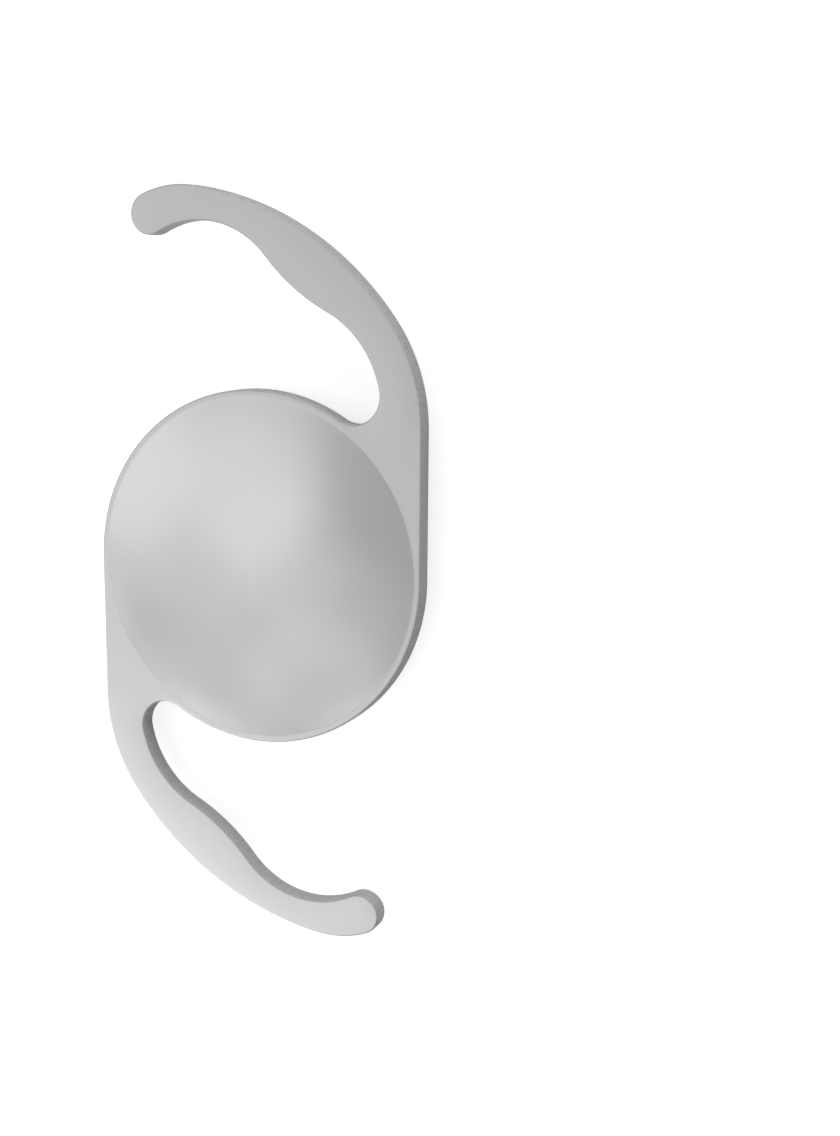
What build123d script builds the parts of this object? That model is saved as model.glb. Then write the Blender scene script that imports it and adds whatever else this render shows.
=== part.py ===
from build123d import *
import os
from math import sqrt

# One-piece intraocular lens of soft acrylic, in millimetres.
# The optical axis is Z, the front of the lens faces +Z, and the origin is at the optic's centre.
# Each haptic leaves the side of the optic, runs on counter-clockwise and hooks back over it.

# Optic
optic_diameter = 6.0
dome_diameter = 5.8
front_curve_radius = 15.4
back_curve_radius = 15.4

# Plate that carries the optic's rim and both haptics
plate_thickness = 0.30
front_edge_radius = 0.05

# Haptic, outer edge
overall_length = 13.0
reach_angle = 106.5
stem_length = 2.45
shoulder_radius = 2.95
crown_radius = 5.25
toe_radius = 1.8
tip_angle = 114.0
tip_radius = 0.35

# Haptic, inner edge
waist_width = 0.51
hook_radius = 1.58
belly_radius = 3.5
neck_width = 0.72
elbow_radius = 1.75
elbow_height = 2.73
root_radius = 0.47

optic_radius = optic_diameter / 2
dome_radius = dome_diameter / 2
half_plate = plate_thickness / 2


def centre_between(a, reach_a, b, reach_b, side):
    """Point at the two given distances from a and b, left (1) or right (-1) of the way from a to b."""
    way = b - a
    along = (reach_a**2 - reach_b**2 + way.length**2) / (2 * way.length)
    across = sqrt(reach_a**2 - along**2)
    ahead = way.normalized()
    return a + ahead * along + Vector(-ahead.Y, ahead.X) * side * across


def point_towards(centre, other, radius):
    """Point of the circle about centre, on the line through the other centre."""
    return centre + (other - centre).normalized() * radius


# Every arc of the outline is tangent to the next, so each centre follows from two neighbours.
optic_centre = Vector(0, 0)
shoulder_centre = Vector(optic_radius - shoulder_radius, stem_length)
toe_centre = Vector(overall_length / 2 - toe_radius, 0).rotate(Axis.Z, reach_angle)
tip_centre = toe_centre + Vector(toe_radius - tip_radius, 0).rotate(Axis.Z, tip_angle)
crown_centre = centre_between(
    shoulder_centre, crown_radius - shoulder_radius, toe_centre, crown_radius - toe_radius, 1
)
hook_centre = centre_between(
    crown_centre, crown_radius - waist_width - hook_radius, tip_centre, hook_radius + tip_radius, -1
)
elbow_centre = Vector(optic_radius - neck_width - elbow_radius, elbow_height)
belly_centre = centre_between(
    hook_centre, hook_radius + belly_radius, elbow_centre, elbow_radius + belly_radius, 1
)
root_centre = centre_between(
    optic_centre, optic_radius + root_radius, elbow_centre, elbow_radius - root_radius, -1
)

with BuildPart() as lens:
    # Rim and haptics: half of the outline, and the same half turned about the optical axis
    with BuildSketch(Plane.XY.offset(-half_plate)):
        with BuildLine():
            with BuildLine(mode=Mode.PRIVATE) as half_outline:
                stem = Line((optic_radius, 0), (optic_radius, stem_length))
                shoulder = TangentArc(
                    stem @ 1, point_towards(shoulder_centre, crown_centre, -shoulder_radius), tangent=stem % 1
                )
                crown = TangentArc(
                    shoulder @ 1, point_towards(toe_centre, crown_centre, -toe_radius), tangent=shoulder % 1
                )
                toe = TangentArc(
                    crown @ 1, point_towards(tip_centre, toe_centre, -tip_radius), tangent=crown % 1
                )
                tip = TangentArc(
                    toe @ 1, point_towards(tip_centre, hook_centre, tip_radius), tangent=toe % 1
                )
                hook = TangentArc(
                    tip @ 1, point_towards(hook_centre, belly_centre, hook_radius), tangent=tip % 1
                )
                belly = TangentArc(
                    hook @ 1, point_towards(elbow_centre, belly_centre, elbow_radius), tangent=hook % 1
                )
                elbow = TangentArc(
                    belly @ 1, point_towards(root_centre, elbow_centre, -root_radius), tangent=belly % 1
                )
                root = TangentArc(
                    elbow @ 1, point_towards(optic_centre, root_centre, optic_radius), tangent=elbow % 1
                )
                rim = TangentArc(root @ 1, (-optic_radius, 0), tangent=root % 1)
            add(half_outline.line)
            add(half_outline.line, rotation=180)
        make_face()
    extrude(amount=plate_thickness)

    # The front edge is rounded all round; the back edge stays square
    fillet(lens.faces().sort_by(Axis.Z)[-1].edges(), radius=front_edge_radius)

    # Biconvex optic
    front_sag = front_curve_radius - sqrt(front_curve_radius**2 - dome_radius**2)
    back_sag = back_curve_radius - sqrt(back_curve_radius**2 - dome_radius**2)
    with BuildSketch(Plane.XZ):
        with BuildLine():
            front_curve = TangentArc((0, half_plate + front_sag), (dome_radius, half_plate), tangent=(1, 0))
            Line(front_curve @ 1, (dome_radius, -half_plate))
            back_curve = TangentArc((0, -half_plate - back_sag), (dome_radius, -half_plate), tangent=(1, 0))
            Line(back_curve @ 0, front_curve @ 0)
        make_face()
    revolve(axis=Axis.Z)

lens.part.label = "lens"

os.makedirs("parts", exist_ok=True)
export_step(lens.part, "parts/lens.step")

print("centre thickness", round(plate_thickness + front_sag + back_sag, 3))
print("volume", round(lens.part.volume, 3))
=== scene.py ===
from math import asin, atan2, ceil, cos, pi, radians, sin, sqrt

import bmesh
import bpy
from mathutils import Matrix, Vector


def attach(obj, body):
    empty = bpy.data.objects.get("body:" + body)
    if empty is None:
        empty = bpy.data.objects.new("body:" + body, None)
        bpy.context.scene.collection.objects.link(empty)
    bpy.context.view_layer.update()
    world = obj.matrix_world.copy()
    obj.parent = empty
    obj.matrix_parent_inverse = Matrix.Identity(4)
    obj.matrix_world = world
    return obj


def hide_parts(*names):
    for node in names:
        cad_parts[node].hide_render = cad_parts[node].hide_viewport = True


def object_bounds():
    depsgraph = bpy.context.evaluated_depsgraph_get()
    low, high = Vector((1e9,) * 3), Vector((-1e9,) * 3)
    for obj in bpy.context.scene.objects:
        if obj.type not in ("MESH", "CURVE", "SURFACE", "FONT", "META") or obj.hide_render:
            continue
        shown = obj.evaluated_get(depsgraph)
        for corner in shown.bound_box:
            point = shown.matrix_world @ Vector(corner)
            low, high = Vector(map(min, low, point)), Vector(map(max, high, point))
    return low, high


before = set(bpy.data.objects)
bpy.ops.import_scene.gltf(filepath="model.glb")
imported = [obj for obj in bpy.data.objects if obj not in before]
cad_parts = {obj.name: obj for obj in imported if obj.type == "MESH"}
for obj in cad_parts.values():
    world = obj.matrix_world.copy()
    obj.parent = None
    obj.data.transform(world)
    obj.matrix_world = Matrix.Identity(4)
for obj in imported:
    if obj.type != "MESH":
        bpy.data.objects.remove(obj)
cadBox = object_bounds()
scene = bpy.context.scene
mm = 0.001
white = (1, 1, 1, 1)

# camera: off the lens's axis towards the upper right, where the outer walls show on that side
cameraSize = dict(
    place=(12.629, 5.182, 23.628),       # mm from the middle of the optic
    turn=(-10.741, 22.423, 0.576),       # degrees about X, Y and Z
    focal=51.052,
    sensor=36,
    clip=(2, 2000),                      # mm
)


def makeCamera(s):
    camera = bpy.data.objects.new("camera", bpy.data.cameras.new("camera"))
    scene.collection.objects.link(camera)
    camera.location = Vector(s["place"]) * mm
    camera.rotation_euler = [radians(a) for a in s["turn"]]
    camera.data.lens = s["focal"]
    camera.data.sensor_width = s["sensor"]
    camera.data.clip_start, camera.data.clip_end = [c * mm for c in s["clip"]]
    scene.camera = camera


makeCamera(cameraSize)
print("camera set")


# shader maths: a Value is one socket, and + - * on it add Math nodes
class Value:
    def __init__(self, graph, socket):
        self.graph = graph
        self.socket = socket

    def __add__(self, other):
        return self.graph.math("ADD", self, other)

    def __radd__(self, other):
        return self.graph.math("ADD", other, self)

    def __sub__(self, other):
        return self.graph.math("SUBTRACT", self, other)

    def __rsub__(self, other):
        return self.graph.math("SUBTRACT", other, self)

    def __mul__(self, other):
        return self.graph.math("MULTIPLY", self, other)

    def __rmul__(self, other):
        return self.graph.math("MULTIPLY", other, self)


class Graph:
    def __init__(self, owner):
        owner.use_nodes = True
        self.tree = owner.node_tree
        self.tree.nodes.clear()

    def add(self, kind, settings, inputs, output=0):
        # inputs are values or links, by the socket's name or number
        node = self.tree.nodes.new("ShaderNode" + kind)
        for name, value in settings.items():
            setattr(node, name, value)
        for name, value in inputs.items():
            if isinstance(value, Value):
                self.tree.links.new(value.socket, node.inputs[name])
            else:
                node.inputs[name].default_value = value
        return Value(self, node.outputs[output]) if node.outputs else None

    def math(self, operation, *values):
        return self.add("Math", {"operation": operation}, dict(enumerate(values)))

    def fade(self, value, none, full):
        # 0 on one side of none, 1 past full, and smooth between them
        return self.add("MapRange", {"interpolation_type": "SMOOTHSTEP"}, {
            "Value": value, "From Min": none, "From Max": full,
        })

    def mix(self, share, none, full):
        # the colour none where share is 0, and full where it is 1, on the node's colour sockets
        inputs = {0: share, 6: none, 7: full}
        return self.add("Mix", {"data_type": "RGBA"}, inputs, output=2)

    def noise(self, place, size, detail):
        return self.add("TexNoise", {}, {"Vector": place, "Scale": 1 / size, "Detail": detail})


# the lens, in mm while it is shaped
lensSize = dict(
    opticRadius=3.0,
    domeRadius=2.9,
    curveRadius=15.4,        # front and back
    blend=0.3,               # hollow round where each dome meets its flat face
    plate=0.30,              # rim and haptics
    frontRound=0.04,
    backBreak=0.006,         # the square back edge, barely broken
    reach=6.5,               # circle that both haptics touch
    reachAngle=106.5,
    stem=2.45,
    shoulder=2.95,
    crown=5.25,
    toe=1.8,
    tip=0.35,
    tipAngle=114.0,
    waist=0.51,
    hook=1.58,
    belly=3.5,
    neck=0.72,
    elbow=1.75,
    elbowHeight=2.73,
    root=0.47,
    arcStep=0.06,            # longest edge along the outline
    arcLeast=4,              # fewest edges in an arc
    roundRings=6,
    breakRings=2,
    domeTurns=240,
    domeRings=20,
    blendRings=4,
    outlineWeld=0.002,       # joins the ends of the two halves
    weld=0.0005,
)


def polar(length, degrees):
    return Vector((length * cos(radians(degrees)), length * sin(radians(degrees)), 0))


def between(a, reachA, b, reachB, side):
    # point at both distances, on the left (1) or right (-1) of the way from a to b
    way = b - a
    along = (reachA ** 2 - reachB ** 2 + way.length ** 2) / (2 * way.length)
    across = sqrt(reachA ** 2 - along ** 2)
    ahead = way.normalized()
    return a + ahead * along + Vector((-ahead.y, ahead.x, 0)) * side * across


def towards(centre, other, radius):
    return centre + (other - centre).normalized() * radius


def hapticArcs(s):
    # centre, end and direction of each arc, from the stem round the haptic to the optic's far side
    optic = Vector((0, 0, 0))
    shoulder = Vector((s["opticRadius"] - s["shoulder"], s["stem"], 0))
    toe = polar(s["reach"] - s["toe"], s["reachAngle"])
    tip = toe + polar(s["toe"] - s["tip"], s["tipAngle"])
    crown = between(shoulder, s["crown"] - s["shoulder"], toe, s["crown"] - s["toe"], 1)
    hook = between(crown, s["crown"] - s["waist"] - s["hook"], tip, s["hook"] + s["tip"], -1)
    elbow = Vector((s["opticRadius"] - s["neck"] - s["elbow"], s["elbowHeight"], 0))
    belly = between(hook, s["hook"] + s["belly"], elbow, s["elbow"] + s["belly"], 1)
    root = between(optic, s["opticRadius"] + s["root"], elbow, s["elbow"] - s["root"], -1)
    return [
        (shoulder, towards(shoulder, crown, -s["shoulder"]), 1),
        (crown, towards(toe, crown, -s["toe"]), 1),
        (toe, towards(tip, toe, -s["tip"]), 1),
        (tip, towards(tip, hook, s["tip"]), 1),
        (hook, towards(hook, belly, s["hook"]), -1),
        (belly, towards(elbow, belly, s["elbow"]), 1),
        (elbow, towards(root, elbow, -s["root"]), -1),
        (root, towards(optic, root, s["opticRadius"]), -1),
        (optic, Vector((-s["opticRadius"], 0, 0)), 1),
    ]


def isVert(item):
    return isinstance(item, bmesh.types.BMVert)


def swing(bm, vert, centre, end, way, s):
    # spins a vertex about centre until it reaches end, and leaves the edges of an arc behind it
    a, b = vert.co - centre, end - centre
    angle = (way * (atan2(b.y, b.x) - atan2(a.y, a.x))) % (2 * pi)
    steps = max(s["arcLeast"], ceil(angle * a.length / s["arcStep"]))
    arc = bmesh.ops.spin(bm, geom=[vert], cent=centre, axis=(0, 0, 1),
                         angle=way * angle, steps=steps)
    return next(g for g in arc["geom_last"] if isVert(g))


def drawOutline(bm, s):
    # half of the outline, then the same half turned about the optical axis
    start = bmesh.ops.create_vert(bm, co=(s["opticRadius"], 0, 0))["vert"][0]
    last = bmesh.ops.extrude_vert_indiv(bm, verts=[start])["verts"][0]
    last.co.y = s["stem"]
    for centre, end, way in hapticArcs(s):
        last = swing(bm, last, centre, end, way, s)
    other = bmesh.ops.duplicate(bm, geom=bm.verts[:] + bm.edges[:])["geom"]
    halfTurn = Matrix.Rotation(pi, 3, "Z")
    bmesh.ops.rotate(bm, verts=[g for g in other if isVert(g)], cent=(0, 0, 0), matrix=halfTurn)
    bmesh.ops.remove_doubles(bm, verts=bm.verts, dist=s["outlineWeld"])


def raisePlate(bm, s):
    bmesh.ops.edgeloop_fill(bm, edges=bm.edges)
    bmesh.ops.translate(bm, verts=bm.verts, vec=(0, 0, -s["plate"] / 2))
    top = bmesh.ops.extrude_face_region(bm, geom=bm.faces[:], use_keep_orig=True)["geom"]
    bmesh.ops.translate(bm, verts=[g for g in top if isVert(g)], vec=(0, 0, s["plate"]))
    front = (1, s["frontRound"], s["roundRings"])
    back = (-1, s["backBreak"], s["breakRings"])
    for side, size, rings in (front, back):
        edges = [e for e in bm.edges if all(v.co.z * side > 0 for v in e.verts)]
        bmesh.ops.bevel(bm, geom=edges, offset=size, offset_type="OFFSET", segments=rings,
                        profile=0.5, affect="EDGES", material=-1)


def makeDomes(s):
    # an arc and the small blend at its foot, spun about the optical axis and mirrored for the back
    sag = s["curveRadius"] - sqrt(s["curveRadius"] ** 2 - s["domeRadius"] ** 2)
    reach = s["curveRadius"] + s["blend"]
    foot = sqrt(sag * (2 * reach - sag))
    slope = asin(foot / reach)
    face = s["plate"] / 2
    bm = bmesh.new()
    apex = bmesh.ops.create_vert(bm, co=(0, 0, face + sag))["vert"][0]
    arc = bmesh.ops.spin(bm, geom=[apex], cent=(0, 0, face + sag - s["curveRadius"]),
                         axis=(0, 1, 0), angle=slope, steps=s["domeRings"])
    rim = [g for g in arc["geom_last"] if isVert(g)]
    bmesh.ops.spin(bm, geom=rim, cent=(foot, 0, face + s["blend"]), axis=(0, 1, 0),
                   angle=-slope, steps=s["blendRings"])
    bmesh.ops.spin(bm, geom=bm.verts[:] + bm.edges[:], cent=(0, 0, 0), axis=(0, 0, 1),
                   angle=2 * pi, steps=s["domeTurns"], use_merge=True)
    bmesh.ops.mirror(bm, geom=bm.verts[:] + bm.edges[:] + bm.faces[:], axis="Z")
    bmesh.ops.remove_doubles(bm, verts=bm.verts, dist=s["weld"])
    mesh = bpy.data.meshes.new("domes")
    bm.to_mesh(mesh)
    bm.free()
    return mesh


def makeLens(s):
    bm = bmesh.new()
    drawOutline(bm, s)
    raisePlate(bm, s)

    # the two flat faces have the most corners, and are filled again round their domes
    flats = sorted(bm.faces, key=lambda f: len(f.verts))[-2:]
    bmesh.ops.delete(bm, geom=flats, context="FACES_ONLY")
    domes = makeDomes(s)
    bm.from_mesh(domes)
    bpy.data.meshes.remove(domes)
    for side in (1, -1):
        rims = [e for e in bm.edges if e.is_boundary and e.verts[0].co.z * side > 0]
        bmesh.ops.triangle_fill(bm, use_beauty=True, edges=rims, normal=(0, 0, side))
    bmesh.ops.remove_doubles(bm, verts=bm.verts, dist=s["weld"])
    bmesh.ops.recalc_face_normals(bm, faces=bm.faces)

    for face in bm.faces:
        face.smooth = True
    bmesh.ops.scale(bm, verts=bm.verts, vec=(mm, mm, mm))
    mesh = bpy.data.meshes.new("lensBody")
    bm.to_mesh(mesh)
    bm.free()
    lens = bpy.data.objects.new("lensBody", mesh)
    scene.collection.objects.link(lens)
    lens.modifiers.new("flat faces lead the shading", "WEIGHTED_NORMAL")
    return lens


# satin grey acrylic: polished optic, frosted rim and haptics, and streaked side walls with painted
# shade, darker than the faces
acrylicLook = dict(
    pale=(0.71, 0.71, 0.71, 1),
    deep=(0.69, 0.69, 0.69, 1),
    # the side walls' colours are painted shade, much darker than the faces, with random streaks
    # between the two
    shadedWallPale=(0.54, 0.54, 0.54, 1),
    shadedWallDeep=(0.31, 0.31, 0.31, 1),
    pearl=(0.40, 0.05),      # metallic share of the faces, and of the side walls
    polished=0.22,           # roughness of the optic
    frosted=0.50,            # roughness of rim, haptics and walls
    cloudy=0.06,             # how far the roughness wanders
    cloudSize=0.9,           # mm
    cloudDetail=2,
    cloudMiddle=0.5,
    grainSize=0.03,          # mm
    grainDetail=1,
    grainDepth=0.0008,       # mm
    streak=(1, 1, 0.08),     # draws the grain out into upright streaks on the walls
    opticRadius=(2.93, 2.87),        # mm, frosted outside and polished inside
    wallHeight=(0.1485, 0.144),      # mm off the middle plane, face outside and wall inside; the walls' painted shade also covers most of the rounded front edge
)


def makeAcrylic(s):
    material = bpy.data.materials.new("satinAcrylic")
    graph = Graph(material)
    place = graph.add("TexCoord", {}, {}, output="Object")
    x, y, z = [graph.add("SeparateXYZ", {}, {0: place}, output=k) for k in range(3)]
    radius = graph.math("SQRT", x * x + y * y)
    optic = graph.fade(radius, *[r * mm for r in s["opticRadius"]])
    wall = graph.fade(graph.math("ABSOLUTE", z), *[h * mm for h in s["wallHeight"]])
    clouds = graph.noise(place, s["cloudSize"] * mm, s["cloudDetail"])
    grain = graph.noise(place, s["grainSize"] * mm, s["grainDetail"])
    drawn = graph.add("Mapping", {}, {"Vector": place, "Scale": s["streak"]})
    streaks = graph.noise(drawn, s["grainSize"] * mm, s["grainDetail"])

    faceTone = graph.mix(clouds, s["deep"], s["pale"])
    # painted shade on the side walls: dark colours, streaked at random
    wallStreaksAndShade = graph.mix(streaks, s["shadedWallDeep"], s["shadedWallPale"])
    bump = graph.add("Bump", {}, {
        "Strength": 1,
        "Distance": s["grainDepth"] * mm,
        "Height": grain * (1 - optic) + (streaks - grain) * wall,    # none on the optic
    })
    facePearl, wallPearl = s["pearl"]
    finish = s["frosted"] + optic * (s["polished"] - s["frosted"])
    shader = graph.add("BsdfPrincipled", {}, {
        # the walls and most of the rounded front edge take the painted shade
        "Base Color": graph.mix(wall, faceTone, wallStreaksAndShade),
        "Metallic": facePearl + wall * (wallPearl - facePearl),
        "Roughness": finish + (clouds - s["cloudMiddle"]) * s["cloudy"],
        "Normal": bump,
    })
    graph.add("OutputMaterial", {}, {"Surface": shader})
    return material


lens = makeLens(lensSize)
lens.data.materials.append(makeAcrylic(acrylicLook))
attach(lens, "root")
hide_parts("lens")
print("lens made,", len(lens.data.polygons), "faces")


# pale floor, which shows white round the lens and keeps its shadow
floorLook = dict(
    half=600,                # mm
    colour=(0.8, 0.8, 0.8, 1),
    lift=0.65,               # brightness that only the camera sees
)


def makeFloor(s):
    bm = bmesh.new()
    bmesh.ops.create_grid(bm, x_segments=1, y_segments=1, size=s["half"] * mm)
    bmesh.ops.translate(bm, verts=bm.verts, vec=(0, 0, cadBox[0][2]))
    mesh = bpy.data.meshes.new("floor")
    bm.to_mesh(mesh)
    bm.free()
    material = bpy.data.materials.new("paleFloor")
    graph = Graph(material)
    seen = graph.add("LightPath", {}, {}, output="Is Camera Ray")
    lift = graph.add("Emission", {}, {"Strength": seen * s["lift"]})
    matte = graph.add("BsdfDiffuse", {}, {"Color": s["colour"]})
    both = graph.add("AddShader", {}, {0: matte, 1: lift})
    graph.add("OutputMaterial", {}, {"Surface": both})
    mesh.materials.append(material)
    floor = bpy.data.objects.new("floor", mesh)
    scene.collection.objects.link(floor)


makeFloor(floorLook)
print("floor laid")


# soft studio: paler all round at the horizon than above
studioLook = dict(
    sky=0.24,
    horizon=0.56,
    backdrop=0.86,               # that only the camera sees, as pale as the floor's far end
    horizonTop=(0.26, 0.08),     # height where the horizon's light ends, and where it is full
)


def makeStudio(s):
    world = bpy.data.worlds.new("studio")
    scene.world = world
    graph = Graph(world)
    way = graph.add("TexCoord", {}, {}, output="Generated")
    height = graph.add("SeparateXYZ", {}, {0: way}, output=2)
    low = graph.fade(height, *s["horizonTop"])
    light = s["sky"] + low * (s["horizon"] - s["sky"])
    seen = graph.add("LightPath", {}, {}, output="Is Camera Ray")
    strength = light + seen * (s["backdrop"] - light)
    background = graph.add("Background", {}, {"Color": white, "Strength": strength})
    graph.add("OutputWorld", {}, {"Surface": background})


makeStudio(studioLook)

# softboxes: bearing and height in degrees, distance and width in mm, and 1 is as bright as white
softboxes = dict(
    key=dict(bearing=172, height=52, distance=60, width=52, brightness=0.576),
    keyLow=dict(bearing=175, height=38, distance=60, width=26, brightness=0.516),
    keyHigh=dict(bearing=175, height=62, distance=60, width=26, brightness=0.365),
    back=dict(bearing=90, height=10, distance=60, width=52, brightness=2.50),
    backRight=dict(bearing=50, height=14, distance=60, width=52, brightness=2.01),
    nearLow=dict(bearing=225, height=14, distance=26, width=15, brightness=1.97),
    nearLowLeft=dict(bearing=200, height=14, distance=26, width=15, brightness=1.40),
    nearLowRight=dict(bearing=235, height=18, distance=26, width=15, brightness=2.45),
    nearMid=dict(bearing=225, height=40, distance=16, width=8, brightness=0.293),
    nearHigh=dict(bearing=225, height=55, distance=24, width=8, brightness=0.211),
    nearLeft=dict(bearing=200, height=70, distance=16, width=8, brightness=0.226),
    nearFront=dict(bearing=250, height=55, distance=16, width=8, brightness=0.374),
    nearFrontHigh=dict(bearing=250, height=70, distance=16, width=8, brightness=0.278),
    nearRight=dict(bearing=275, height=40, distance=16, width=8, brightness=1.23),
)


def makeSoftbox(name, s):
    lamp = bpy.data.objects.new(name, bpy.data.lights.new(name, "AREA"))
    lamp.data.shape = "DISK"
    lamp.data.size = s["width"] * mm
    # a disc as bright as this gives pi times its area in watts
    lamp.data.energy = s["brightness"] * pi * pi * (s["width"] * mm / 2) ** 2
    height = radians(s["height"])
    lamp.location = polar(cos(height), s["bearing"]) + Vector((0, 0, sin(height)))
    lamp.location *= s["distance"] * mm
    lamp.rotation_euler = (-lamp.location).to_track_quat("-Z", "Y").to_euler()
    lamp.visible_camera = False
    scene.collection.objects.link(lamp)


for name, size in softboxes.items():
    makeSoftbox(name, size)
print("lights set")

scene.view_settings.view_transform = "Standard"
